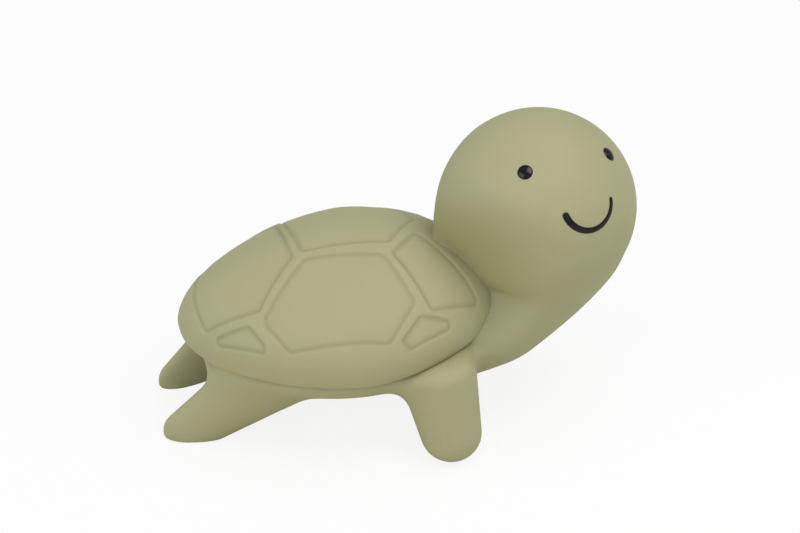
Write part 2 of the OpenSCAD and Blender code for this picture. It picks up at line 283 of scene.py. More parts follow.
def write_mesh(
    name: str, finish: Material, vertices: Array, faces: Sequence[Array], marks: Mapping[str, Array]
) -> Piece:
    """Writes a smooth mesh at the origin.

    Args:
        name: Name of the piece.
        finish: Its material.
        vertices: Places in millimetres.
        faces: Arrays of triangles or quads.
        marks: Values per vertex that its finish reads.

    Returns:
        The object.
    """
    mesh = bpy.data.meshes.new(name)
    polygons = [face for group in faces for face in group.tolist()]
    mesh.from_pydata((vertices * MM).tolist(), [], polygons)
    mesh.update()
    mesh.shade_smooth()
    normals = np.empty(len(vertices) * 3, np.float32)
    mesh.vertex_normals.foreach_get("vector", normals)
    marks = {**marks, "upward": normals.reshape(-1, 3)[:, 2]}
    for key, values in marks.items():
        mesh.attributes.new(key, "FLOAT", "POINT").data.foreach_set("value", values.astype(np.float32))
    mesh.materials.append(finish)
    piece = bpy.data.objects.new(name, mesh)
    bpy.context.scene.collection.objects.link(piece)
    return piece


def node_box(node: str) -> tuple[Array, Array]:
    """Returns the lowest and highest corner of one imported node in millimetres."""
    low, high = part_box(node)
    return np.array(low) / MM, np.array(high) / MM


Value = Union["Socket", float]


@dataclass(frozen=True)
class Socket:
    """A shader value that takes part in arithmetic, which adds math nodes to its tree."""

    tree: ShaderTree
    output: bpy.types.NodeSocket

    def _math(self, operation: str, a: Value, b: Value) -> Socket:
        """Returns the result of a math node for two values."""
        return self.tree.node("ShaderNodeMath", {"operation": operation}, {0: a, 1: b})

    def __add__(self, other: Value) -> Socket:
        """Returns this value plus another."""
        return self._math("ADD", self, other)

    def __radd__(self, other: Value) -> Socket:
        """Returns another value plus this one."""
        return self._math("ADD", other, self)

    def __sub__(self, other: Value) -> Socket:
        """Returns this value less another."""
        return self._math("SUBTRACT", self, other)

    def __rsub__(self, other: Value) -> Socket:
        """Returns another value less this one."""
        return self._math("SUBTRACT", other, self)

    def __mul__(self, other: Value) -> Socket:
        """Returns this value times another."""
        return self._math("MULTIPLY", self, other)

    def __rmul__(self, other: Value) -> Socket:
        """Returns another value times this one."""
        return self._math("MULTIPLY", other, self)

    def eased(self, low: float, high: float) -> Socket:
        """Returns a smooth step from 0 at low to 1 at high."""
        inputs = {"Value": self, "From Min": low, "From Max": high}
        return self.tree.node("ShaderNodeMapRange", {"interpolation_type": "SMOOTHSTEP"}, inputs)

    def swing(self, amount: float) -> Socket:
        """Returns a noise as a change to both sides of zero, of this amount between its extremes."""
        return (self - NOISE_MEAN) * amount


class ShaderTree:
    """Node tree of one new material."""

    def __init__(self, name: str) -> None:
        """Starts an empty material.

        Args:
            name: Name of the material.
        """
        self.material = bpy.data.materials.new(name)
        self.material.use_nodes = True
        self.nodes = self.material.node_tree.nodes
        self.nodes.clear()

    def node(
        self, kind: str, settings: Mapping[str, object], inputs: Mapping[object, object], output: object = 0
    ) -> Socket:
        """Adds a node.

        Args:
            kind: Type of the node.
            settings: Properties to set.
            inputs: Values or sockets by the input's name or number.
            output: Name or number of the output to hand back.

        Returns:
            That output.
        """
        made = self.nodes.new(kind)
        for key, value in settings.items():
            setattr(made, key, value)
        for key, value in inputs.items():
            if isinstance(value, Socket):
                self.material.node_tree.links.new(value.output, made.inputs[key])
            else:
                made.inputs[key].default_value = value
        return Socket(self, made.outputs[output])

    def mark(self, name: str) -> Socket:
        """Returns the value per vertex of this name."""
        return self.node("ShaderNodeAttribute", {"attribute_name": name}, {}, "Fac")

    def noise(self, size: float, detail: float = 2.0) -> Socket:
        """Returns noise with spots of a size in millimetres and this many octaves of finer detail."""
        place = self.node("ShaderNodeTexCoord", {}, {}, "Object")
        inputs = {"Vector": place, "Scale": 1 / (size * MM), "Detail": detail}
        return self.node("ShaderNodeTexNoise", {}, inputs)

    def mix(self, share: Value, a: object, b: object) -> Socket:
        """Returns a mix of two colours with this share of the second one."""
        inputs = {MIX_SHARE: share, MIX_A: a, MIX_B: b}
        return self.node("ShaderNodeMix", {"data_type": "RGBA"}, inputs, MIX_RESULT)

    def bump(self, height: Socket, depth: float) -> Socket:
        """Returns the normal for a height from 0 to 1, whose full depth is given in millimetres."""
        return self.node("ShaderNodeBump", {}, {"Height": height, "Distance": depth * MM, "Strength": 1.0})

    def close(self, shader: Socket) -> Material:
        """Ends the tree with a shader.

        Args:
            shader: Shader of the surface.

        Returns:
            The material.
        """
        made = self.nodes.new("ShaderNodeOutputMaterial")
        self.material.node_tree.links.new(shader.output, made.inputs["Surface"])
        return self.material

    def surface(
        self, colour: Socket, roughness: Socket, normal: Socket, extras: Mapping[str, float]
    ) -> Material:
        """Ends the tree with a principled surface.

        Args:
            colour: Base colour.
            roughness: Roughness.
            normal: Normal.
            extras: Plain values of further inputs by name.

        Returns:
            The material.
        """
        inputs = {"Base Color": colour, "Roughness": roughness, "Normal": normal, **extras}
        return self.close(self.node("ShaderNodeBsdfPrincipled", {}, inputs))


@dataclass(frozen=True)
class RubberFinish:
    """Matte natural rubber with painted light and shade: a lit tone where it faces up, a shaded tone
    underneath, and painted shade in its grooves.
    """

    # Painted light and shade: the first tone goes where the surface faces up, the second, darker one where it
    # faces down, eased over the range of the normal's upward share below
    lit_tone: Colour = (172, 171, 132)
    deep: Colour = (160, 158, 111)
    facing: tuple[float, float] = (-0.9, 0.75)
    # Painted shade in the seams between scutes: a darker tone laid by the seam share at the strength below
    groove: Colour = (124, 122, 80)
    groove_share: float = 0.3
    roughness: float = 0.62
    shine: float = 0.4
    mottle: float = 14.0
    mottle_tone: float = 0.35
    mottle_rough: float = 0.1
    speckle: float = 2.2
    speckle_detail: float = 3.0
    speckle_tone: float = 0.3
    speckle_rough: float = 0.2
    speckle_height: float = 0.6
    grain: float = 0.35
    grain_height: float = 0.7
    grain_depth: float = 0.035

    def make(self) -> Material:
        """Returns the material, whose tone and roughness swing with a broad mottle and a fine speckle."""
        tree = ShaderTree("rubber")
        cloud = tree.noise(self.mottle)
        speck = tree.noise(self.speckle, self.speckle_detail)
        # Painted light and shade: the normal's upward share picks between the shaded and the lit tone
        facing = tree.mark("upward").eased(*self.facing)
        share = facing + cloud.swing(self.mottle_tone) + speck.swing(self.speckle_tone)
        base = tree.mix(share, linear(self.deep), linear(self.lit_tone))
        # Painted shade in the seams, laid by the carapace's seam share
        colour = tree.mix(tree.mark("groove") * self.groove_share, base, linear(self.groove))
        rough = self.roughness + speck.swing(self.speckle_rough) + cloud.swing(self.mottle_rough)
        height = tree.noise(self.grain) * self.grain_height + speck * self.speckle_height
        normal = tree.bump(height, self.grain_depth)
        return tree.surface(colour, rough, normal, {"Specular IOR Level": self.shine})


@dataclass(frozen=True)
class PaintFinish:
    """Dark paint with a slight change of tone and an uneven gloss."""

    name: str
    dark: Colour
    light: Colour
    roughness: float
    coat: float
    coat_rough: float = 0.05
    gloss: float = 0.2
    spots: float = 1.5
    tones: tuple[float, float] = (0.3, 0.7)
    uneven: float = 0.1
    relief: float = 0.01

    def make(self) -> Material:
        """Returns the material, whose tone, roughness and relief follow one noise."""
        tree = ShaderTree(self.name)
        cloud = tree.noise(self.spots)
        colour = tree.mix(cloud.eased(*self.tones), linear(self.dark), linear(self.light))
        rough = self.roughness + cloud.swing(self.uneven)
        normal = tree.bump(cloud, self.relief)
        coat = {"Coat Weight": self.coat, "Coat Roughness": self.coat_rough}
        return tree.surface(colour, rough, normal, {"Specular IOR Level": self.gloss, **coat})


@dataclass(frozen=True)
class PlasticFinish:
    """Moulded plastic with flow marks and a faint grain."""

    name: str
    base: Colour
    streak: Colour
    roughness: float
    flow: float = 4.0
    flow_detail: float = 3.0
    tones: tuple[float, float] = (0.35, 0.75)
    uneven: float = 0.15
    grain: float = 0.5
    relief: float = 0.01

    def make(self) -> Material:
        """Returns the material, whose tone and roughness follow its flow marks."""
        tree = ShaderTree(self.name)
        cloud = tree.noise(self.flow, self.flow_detail)
        colour = tree.mix(cloud.eased(*self.tones), linear(self.base), linear(self.streak))
        rough = self.roughness + cloud.swing(self.uneven)
        normal = tree.bump(tree.noise(self.grain), self.relief)
        return tree.surface(colour, rough, normal, {})


@dataclass(frozen=True)
class ShellForm:
    """Egg-shaped dome of the carapace in its own tilted frame.

    There x runs ahead from the dome's middle, and z up from the rim's widest line.
    """

    middle: float
    rear: float
    front: float
    half_w: float
    rim_z: float = 33.0
    squareness: float = 1.7
    dome_h: float = 21.0
    dome_n: float = 1.85
    lip_h: float = 5.0
    lip_in: float = 1.5
    pitch: float = math.radians(3.6)

    @classmethod
    def from_frame(cls, front_share: float = 0.4633) -> ShellForm:
        """Takes the outline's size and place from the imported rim.

        Args:
            front_share: Share of the shell's length that lies in front of its middle.

        Returns:
            The form.
        """
        low, high = node_box("shell_rim")
        length = (high[0] - low[0]) / math.cos(cls.pitch)
        middle = high[0] - front_share * (high[0] - low[0])
        return cls(middle, length * (1 - front_share), length * front_share, float(high[1]))

    def axes(self) -> Array:
        """Returns the frame's directions in the part as rows: ahead, left and up."""
        c, s = math.cos(self.pitch), math.sin(self.pitch)
        return np.array([[c, 0, s], [0, 1, 0], [-s, 0, c]])

    def local(self, p: Array) -> Array:
        """Returns points of the part in the shell's frame."""
        return (p - [self.middle, 0, self.rim_z]) @ self.axes().T

    def world(self, q: Array) -> Array:
        """Returns points of the shell's frame in the part."""
        return q @ self.axes() + [self.middle, 0, self.rim_z]

    def half_length(self, x: Array) -> Array:
        """Returns the outline's half length at the rear or at the front, by the sign of x."""
        return np.where(x < 0, self.rear, self.front)

    def lean(self, x: Array, y: Array, z: Array) -> Array:
        """Returns the dome's outward slope: each coordinate over the square of its half length."""
        return np.stack([x / self.half_length(x) ** 2, y / self.half_w**2, z / self.dome_h**2], -1)

    def outline(self, turn: Array, inset: float) -> Array:
        """Points of the outline in plan.

        The radius is the inverse n-th root of the sum of the n-th powers of the direction over the half
        lengths.

        Args:
            turn: Directions in radians.
            inset: How far the half lengths are drawn in.

        Returns:
            Points, one per direction.
        """
        c, s = np.cos(turn), np.sin(turn)
        r = 1 / power_norm(c / (self.half_length(c) - inset), s / (self.half_w - inset), self.squareness)
        return np.stack([r * c, r * s], -1)

    def rise(self, share: Array) -> Array:
        """Returns heights: the n-th powers of the shares of the way out and of the height add up to one."""
        n = self.dome_n
        return self.dome_h * np.maximum(1 - share**n, 0) ** (1 / n)

    def depth(self, q: Array) -> Array:
        """Rough distance to the carapace's outside.

        Above the widest line it is the distance to an egg-shaped half ball. Below it, the distance to the
        outline, drawn in along a quarter of an ellipse, and cut level at the crease.

        Args:
            q: Points in the shell's frame.

        Returns:
            Distances, negative inside.
        """
        x, y, z = q[..., 0], q[..., 1], q[..., 2]
        up = np.maximum(z, 0)
        share = power_norm(x / self.half_length(x), y / self.half_w, self.squareness)
        whole = power_norm(share, up / self.dome_h, self.dome_n)
        slope = np.linalg.norm(self.lean(x, y, up), axis=-1)
        dome = whole * (whole - 1) / np.maximum(slope, SLOPE_FLOOR)
        fall = np.clip(-z / self.lip_h, 0, 1)
        side = dome + self.lip_in * (1 - np.sqrt(1 - fall * fall))
        return np.where(z > 0, dome, np.maximum(side, -z - self.lip_h))


@dataclass(frozen=True)
class Scute:
    """One sunk panel of the carapace.

    It is a convex outline on the dome laid flat, anticlockwise, with rounded corners.
    """

    corners: tuple[tuple[float, float], ...]
    rounding: float = 1.4

    def mirrored(self) -> Scute:
        """Returns the panel of the other side, anticlockwise again."""
        return Scute(tuple((x, -y) for x, y in reversed(self.corners)), self.rounding)

    def distance(self, flat: Array) -> Array:
        """Distance to the outline, whose corners are arcs.

        The outline is drawn in, and the distance to that is less what it was drawn in by. Outside it is the
        distance to the nearest side, and inside the largest one to the sides' lines, all negative there.

        Args:
            flat: Points of the dome laid flat.

        Returns:
            Distances, negative inside.
        """
        corners = np.array(self.corners)
        along = unit(np.roll(corners, -1, 0) - corners)
        out = np.stack([along[:, 1], -along[:, 0]], 1)
        before = np.roll(out, 1, 0)
        inset = corners - self.rounding * (out + before) / (1 + (out * before).sum(1, keepdims=True))
        lines, sides = [], []
        for corner, after, way, normal in zip(inset, np.roll(inset, -1, 0), along, out):
            q = flat - corner
            place = np.clip(q @ way, 0, np.linalg.norm(after - corner))
            lines.append(q @ normal)
            sides.append(np.linalg.norm(q - place[..., None] * way, axis=-1))
        line = np.max(lines, axis=0)
        return np.where(line < 0, line, np.min(sides, axis=0)) - self.rounding


HEXAGON = Scute(
    ((-12.3, -6.4), (-27.2, -21.4), (-22.7, -32.1), (6.8, -35.7), (15.1, -23.9), (8.2, -9.0)), rounding=2.4
)
LEFT_SCUTE = Scute(((-12.8, -3.2), (10.5, -4.0), (19.5, 9.5), (17.0, 21.0), (6.5, 31.5), (-17.9, 29.8)))
REAR_SCUTE = Scute(
    ((-15.6, -4.3), (-19.2, 21.5), (-27.5, 24.0), (-44.5, 15.0))
    + ((-47.3, -3.1), (-47.3, -14.5), (-27.8, -17.9))
)
FRONT_SCUTE = Scute(((11.2, -8.4), (20.3, -25.6), (37.1, -19.8), (18.6, 0.5)))
NAPE_SCUTE = Scute(((25.7, 12.6), (30.7, 14.5), (35.8, 20.2), (28.2, 24.8), (22.5, 21.4)))
CORNER_SCUTES = (
    Scute(((-45.8, -20.3), (-31.0, -29.3), (-29.6, -27.5), (-32.2, -20.9), (-44.0, -18.7)), rounding=0.9),
    Scute(((10.9, -34.9), (13.6, -37.0), (26.9, -29.7), (25.4, -27.7), (16.6, -27.9)), rounding=0.9),
)
LARGE_SCUTES = (HEXAGON, LEFT_SCUTE, REAR_SCUTE, FRONT_SCUTE, NAPE_SCUTE)
SCUTES = (*LARGE_SCUTES, *CORNER_SCUTES, *(scute.mirrored() for scute in CORNER_SCUTES))


@dataclass(frozen=True)
class Carapace:
    """Domed shell with its rim.

    It is one thickness of rubber from the outside of the dome, round the lip and back inside.
    """

    form: ShellForm
    wall: float = 2.5
    # Points and rows of the mesh, steps along the slope, and the angle left to the inner pole
    grid: int = 271
    slope_steps: int = 400
    lip_rows: int = 10
    inner_rows: int = 6
    inner_pole: float = 0.1
    # Scutes: how far they are spread, depth of panel and seam, and widths of brow, wall and seam
    spread: float = 0.5
    sink: float = 0.28
    seam: float = 0.42
    brow: float = 0.4
    wall_w: float = 0.4
    seam_w: float = 0.9
    # Dent, worked out but not applied: heights at the shell's middle where it starts and is full, and how
    # they lean
    press_low: float = 43.5
    press_high: float = 53.0
    press_lean: float = 0.26

    def sunk(self, flat: Array) -> tuple[Array, Array]:
        """How deep the scutes lie.

        A steep wall leads down into a seam just inside the nearest outline, and the panel rises from the seam
        again to its own level.

        Args:
            flat: Points of the dome laid flat.

        Returns:
            Depths in millimetres, and the share of painted shade in the seams for the finish.
        """
        near = np.min([scute.distance(flat) for scute in SCUTES], axis=0) - self.spread
        wall = 1 - smooth_step(-self.wall_w, self.brow, near)
        seam = np.exp(-((np.maximum(-self.wall_w - near, 0) / self.seam_w) ** 2))
        return wall * (self.sink + (self.seam - self.sink) * seam), wall * seam

    def plan(self) -> tuple[Array, Array, Array]:
        """Points of the dome on an even grid.

        A square's grid is carried onto the outline: the larger coordinate gives the share of the way down the
        dome's slope, and the smaller one the turn along that side of the square. Laid flat, the dome keeps
        the lengths along its slope.

        Returns:
            Shares of the outline, points in plan and points of the dome laid flat, as rows by columns.
        """
        side = np.linspace(-1, 1, self.grid)
        u, v = np.meshgrid(side, side)
        wide = np.abs(u) > np.abs(v)
        out = np.where(wide, u, v)
        lean = np.where(wide, v, u) / np.where(out == 0, 1, out) * np.pi / 4
        turn = np.where(wide, lean, np.pi / 2 - lean) + np.where(out < 0, np.pi, 0)
        swing = np.linspace(0, np.pi / 2, self.slope_steps)
        pace = np.hypot(self.form.half_w * np.cos(swing), self.form.dome_h * np.sin(swing))
        travel = np.concatenate([[0], np.cumsum((pace[1:] + pace[:-1]) / 2)])
        share = np.sin(np.interp(np.abs(out) * travel[-1], travel, swing))
        edge = self.form.outline(turn, 0.0)
        full = travel[-1] * swing[1] / self.form.half_w
        return share, share[..., None] * edge, np.abs(out)[..., None] * full * edge

    def dome(self) -> tuple[Array, Array]:
        """The dome's outside, with its scutes sunk along the dome's normal.

        Returns:
            Points as rows by columns, and the share of painted seam shade at each.
        """
        form = self.form
        share, plan, flat = self.plan()
        height = form.rise(share)
        x, y = plan[..., 0], plan[..., 1]
        top = np.stack([x, y, height], -1)
        depth, groove = self.sunk(flat)
        return top - unit(form.lean(x, y, height)) * depth[..., None], groove

    def underside(self, edge: Array) -> Array:
        """Rings from the rim's widest line round the lip, and up the inside of the dome.

        Args:
            edge: The widest line in plan.

        Returns:
            Points as rows by columns.
        """
        form = self.form
        turn = np.arctan2(edge[:, 1], edge[:, 0])
        level = np.ones(len(turn))
        rings = []
        for a in np.linspace(0, np.pi / 2, self.lip_rows + 1)[1:]:
            ring = form.outline(turn, form.lip_in * (1 - math.cos(a)))
            rings.append(np.column_stack([ring, -form.lip_h * math.sin(a) * level]))
        inner = form.outline(turn, self.wall)
        rings.append(np.column_stack([inner, -form.lip_h * level]))
        for a in np.linspace(0, np.pi / 2 - self.inner_pole, self.inner_rows):
            height = (form.dome_h - self.wall) * math.sin(a)
            rings.append(np.column_stack([inner * math.cos(a), height * level]))
        return np.array(rings)

    def build(self, finish: Material) -> Piece:
        """Makes the carapace.

        Args:
            finish: Material of the rubber.

        Returns:
            The piece.
        """
        top, groove = self.dome()
        index = np.arange(top.size // 3).reshape(top.shape[:2])
        edge = np.concatenate([index[0, :-1], index[:-1, -1], index[-1, :0:-1], index[:0:-1, 0]])
        under = self.underside(top.reshape(-1, 3)[edge, :2])
        rings = index.size + np.arange(under.size // 3).reshape(under.shape[:2])
        pole = index.size + rings.size
        points = np.concatenate([top.reshape(-1, 3), under.reshape(-1, 3), [under[-1].mean(0)]])
        points = self.form.world(points)
        marks = np.zeros(len(points))
        # Seam share that the finish darkens as painted shade
        marks[: index.size] = groove.reshape(-1)
        faces = [
            np.stack([index[:-1, :-1], index[:-1, 1:], index[1:, 1:], index[1:, :-1]], -1).reshape(-1, 4),
            ring_faces(np.concatenate([edge[None], rings])),
            cap_faces(rings[-1], pole, False),
        ]
        piece = write_mesh("carapace", finish, points, faces, {"groove": marks})
        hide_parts("crown", "shell_rim")
        start = np.array([self.form.middle, 0, self.press_low])
        slope = np.array([-self.press_lean, 0, 1.0])
        end = start + slope * (self.press_high - self.press_low) / (slope @ slope)
        tuple(end * MM)
        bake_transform(piece)
        return piece


@dataclass(frozen=True)
class Limb:
    """One flipper of the right side as a flattened round cone, with places from the shell's middle."""

    root: Place
    tip: Place
    root_r: float
    tip_r: float
    flat: float
    normal: Place

    def field(self, p: Array) -> Array:
        """Distance to the flipper: space is stretched across its thickness before a cone is measured.

        Args:
            p: Points measured from the shell's middle, with y on the right side.

        Returns:
            Distances, negative inside.
        """
        root, tip, normal = np.array(self.root), np.array(self.tip), np.array(self.normal)
        axis = unit(tip - root)
        across = unit(normal - (normal @ axis) * axis)
        q = p + ((p - root) @ across * (1 / self.flat - 1))[..., None] * across
        return round_cone(q, root, tip, self.root_r, self.tip_r) * self.flat


@dataclass(frozen=True)
class SoftBody:
    """Belly, neck, head and flippers as one implicit surface."""

    form: ShellForm
    head: Array
    head_r: float
    # Belly: inset, depth, squareness in section and in plan, and drop below the rim
    belly_in: float = 3.4
    belly_h: float = 13.75
    belly_n: float = 2.6
    belly_square: float = 1.85
    belly_drop: float = 4.25
    # Neck: its end, its radius there, and its swell in front and behind
    neck_end: Place = (33.3, 0.0, 24.1)
    neck_r: float = 15.8
    throat: float = 0.143
    nape_swell: float = 0.02
    # Chest: its widening, where on the neck that starts, and its rounding below
    chest: float = 1.3
    chest_from: float = 0.35
    chest_round: float = 4.0
    # Nape: share of the width left, reach from back to front, and reach down the neck
    nape: float = 0.3
    nape_from: float = -9.0
    nape_to: float = 6.5
    nape_top: float = -0.12
    nape_low: float = 1.1
    # Skull: its taper in the same order, and the fillet with the nape's
    skull: float = 0.44
    skull_from: float = -21.6
    skull_to: float = 5.0
    skull_top: float = -0.29
    skull_low: float = 0.5
    slim_reach: float = 0.15
    # Back of the skull: how far it stands out, from where, and reach down the neck
    hind: float = 1.4
    hind_from: float = -20.0
    hind_top: float = -0.4
    hind_low: float = 0.2
    # Fillet between skull and neck, and what the jaw adds to it
    tight: float = 0.06
    jaw: float = 2.6
    # Flippers: root, tip, radius at both, thickness as a share of the width, and direction across it
    front: Limb = Limb((19.2, -24.6, 25.0), (22.3, -29.4, 7.5), 10.4, 8.25, 0.9, (0.1, 1.0, 0.55))
    rear: Limb = Limb((-26.5, -15.7, 19.5), (-47.1, -12.2, 2.3), 10.2, 6.6, 0.42, (-0.05, -0.9, 0.12))
    # Fillets: flippers, neck, shoulders, the valley beside the neck, and haunches
    limb_reach: float = 6.0
    neck_reach: float = 8.0
    shoulder: float = 4.0
    valley: float = 1.2
    haunch: float = 5.0
    # Skirt under the dome: its depth, how much deeper it ends, and from where to where
    skirt: float = 0.65
    skirt_drop: float = 1.5
    skirt_from: float = 1.5
    skirt_w: float = 4.0
    # Dome: gap to the body below it, and reach of its hollow down and out
    dome_gap: float = 1.0
    hollow_low: float = 1.0
    hollow_out: float = 0.5
    floor_round: float = 0.8
    plug_r: float = 7.8
    plug_top: float = -4.0
    # Mesh: spacing, margin, rounds of settling, parts of the spacing in a move, least square of the slope
    step: float = 0.64
    margin: float = 2.0
    settle_rounds: int = 3
    settle_parts: float = 3.0
    settle_slope: float = 0.1
    probe: float = 0.05

    @classmethod
    def from_frame(cls, form: ShellForm) -> SoftBody:
        """Takes the head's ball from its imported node.

        Args:
            form: Form of the carapace.

        Returns:
            The body.
        """
        _, high = node_box("head")
        radius = float(high[1])
        return cls(form, np.array([high[0] - radius, 0.0, high[2] - radius]), radius)

    def head_field(self, p: Array, z: Array) -> Array:
        """Distance to the head and neck.

        The head is a ball that tapers behind and below, with its back standing out a little. The neck is a
        round cone that leaves the ball along its tangents and ends in the chest, level with the belly. Space
        is scaled before the cone is measured: the width grows towards the chest, the back is drawn in by the
        lesser of the skull's taper and the nape's, and the front swells to a full throat. Nape and throat
        come and go along the neck as a raised cosine.

        Args:
            p: Points of the part.
            z: Their heights in the shell's frame.

        Returns:
            Distances, negative inside.
        """
        end = np.array(self.neck_end) + [self.form.middle, 0, 0]
        axis = end - self.head
        length = np.linalg.norm(axis)
        ahead = np.array([-axis[2], 0, axis[0]]) / length
        r = p - self.head
        along = r @ axis / length**2
        fore = r @ ahead
        front = smooth_step(self.nape_from, self.nape_to, fore)
        down = np.clip((along - self.nape_top) / (self.nape_low - self.nape_top), 0, 1)
        hump = (1 - np.cos(2 * np.pi * down)) / 2
        wide = 1 + (self.chest - 1) * smooth_step(self.chest_from, 1, along)
        behind = 1 - smooth_step(self.skull_from, self.skull_to, fore)
        thin = 1 - (1 - self.skull) * behind * smooth_step(self.skull_top, self.skull_low, along)
        swell = hump * (self.throat * front + self.nape_swell * (1 - front))
        q = p - (fore * swell / (1 + swell))[..., None] * ahead
        slim = smooth_min(thin, 1 - (1 - self.nape) * (1 - front) * hump, self.slim_reach)
        q[..., 1] = p[..., 1] / (wide * slim)
        back = 1 - smooth_step(self.hind_from, 0, fore)
        hind = self.hind * back * smooth_step(self.hind_top, self.hind_low, along)
        r = r + hind[..., None] * ahead
        r[..., 1] = r[..., 1] / thin
        ball = np.linalg.norm(r, axis=-1) - self.head_r
        cone = round_cone(q, self.head, end, self.head_r, self.neck_r)
        cone = smooth_max(cone, -self.belly_drop - self.belly_h - z, self.chest_round)
        return smooth_min(ball, cone, self.tight + self.jaw * hump)

    def belly_field(self, q: Array) -> Array:
        """Rough distance to the belly, a squarish bowl that follows the carapace's outline.

        It is the n-norm of the share of the outline and the share of the depth, less one, over the length of
        its slope.

        Args:
            q: Points in the shell's frame.

        Returns:
            Distances, negative inside.
        """
        x, y, z = q[..., 0], q[..., 1], q[..., 2] + self.belly_drop
        half_l = self.form.half_length(x) - self.belly_in
        half_w = self.form.half_w - self.belly_in
        n = self.belly_n
        plan = power_norm(x / half_l, y / half_w, self.belly_square)
        grow = np.hypot(x / half_l**2, y / half_w**2) / np.maximum(plan, BOWL_FLOOR)
        deep = np.abs(z) / self.belly_h
        norm = np.maximum(power_norm(plan, deep, n), BOWL_FLOOR)
        slope = norm ** (1 - n) * np.hypot(plan ** (n - 1) * grow, deep ** (n - 1) / self.belly_h)
        return (norm - 1) / np.maximum(slope, BOWL_FLOOR)

    def field(self, p: Array) -> Array:
        """Distance to the whole soft body.

        The belly, flippers and neck flow into each other. Above the crease they stop short of the carapace,
        apart from a skirt just under its surface beside the neck and the rear flippers, where a valley joins
        them to it.

        Args:
            p: Points of the part.

        Returns:
            Distances, negative inside.
        """
        q = self.form.local(p)
        z = q[..., 2]
        side = p - [self.form.middle, 0, 0]
        side[..., 1] = -np.abs(side[..., 1])
        dome = self.form.depth(q)
        neck = self.head_field(p, z)
        front = self.front.field(side)
        rear = self.rear.field(side)
        low = smooth_min(smooth_min(self.belly_field(q), front, self.limb_reach), rear, self.limb_reach)
        body = smooth_min(low, neck, self.neck_reach)
        room = np.minimum(np.minimum(z + self.form.lip_h, dome + self.dome_gap), neck - self.skirt_w)
        body = smooth_max(body, room, self.shoulder)
        skirt = dome + self.skirt + self.skirt_drop * smooth_step(self.skirt_from, self.skirt_w, neck)
        body = np.minimum(body, smooth_min(neck, skirt, self.valley))
        body = np.minimum(body, smooth_min(rear, dome + self.skirt, self.haunch))
        hollow = np.maximum(np.maximum(-self.hollow_low - z, self.skirt_w - neck), dome - self.hollow_out)
        body = np.maximum(body, -hollow)
        plug = np.maximum(np.hypot(q[..., 0], q[..., 1]) - self.plug_r, z - self.plug_top)
        body = np.maximum(body, -plug)
        return smooth_max(body, -p[..., 2], self.floor_round)

    def settle(self, vertices: Array) -> Array:
        """Moves vertices onto the surface by a few Newton steps along the field's slope.

        Args:
            vertices: Places near the surface.

        Returns:
            Places on it.
        """
        for _ in range(self.settle_rounds):
            slope = np.stack(
                [self.field(vertices + d) - self.field(vertices - d) for d in np.eye(3) * self.probe], -1
            ) / (2 * self.probe)
            size = np.maximum((slope * slope).sum(-1), self.settle_slope)
            move = -slope * (self.field(vertices) / size)[:, None]
            length = np.linalg.norm(move, axis=1, keepdims=True)
            farthest = self.step / self.settle_parts
            vertices = vertices + move * np.minimum(1, farthest / np.maximum(length, TINY))
        return vertices

    def build(self, finish: Material) -> Piece:
        """Samples the field, meshes it and puts it on the body.

        Args:
            finish: Material of the rubber.

        Returns:
            The piece.
        """
        flippers = [f"{end}_{side}_flipper" for end in ("front", "rear") for side in ("left", "right")]
        nodes = ("belly", "head", *flippers)
        boxes = [node_box(node) for node in nodes]
        low = np.min([b[0] for b in boxes], axis=0) - self.margin
        high = np.max([b[1] for b in boxes], axis=0) + self.margin
        axes = [np.arange(a, b, self.step) for a, b in zip(low, high)]
        values = np.stack(
            [self.field(np.stack(np.meshgrid([x], axes[1], axes[2], indexing="ij"), -1))[0] for x in axes[0]]
        )
        vertices, quads = surface_net(values, low, self.step)
        vertices = self.settle(vertices)
        # The soft body has no painted seam shade
        piece = write_mesh("soft_body", finish, vertices, [quads], {"groove": np.zeros(len(vertices))})
        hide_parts(*nodes)
        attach(piece, Body.BODY.value)
        return piece


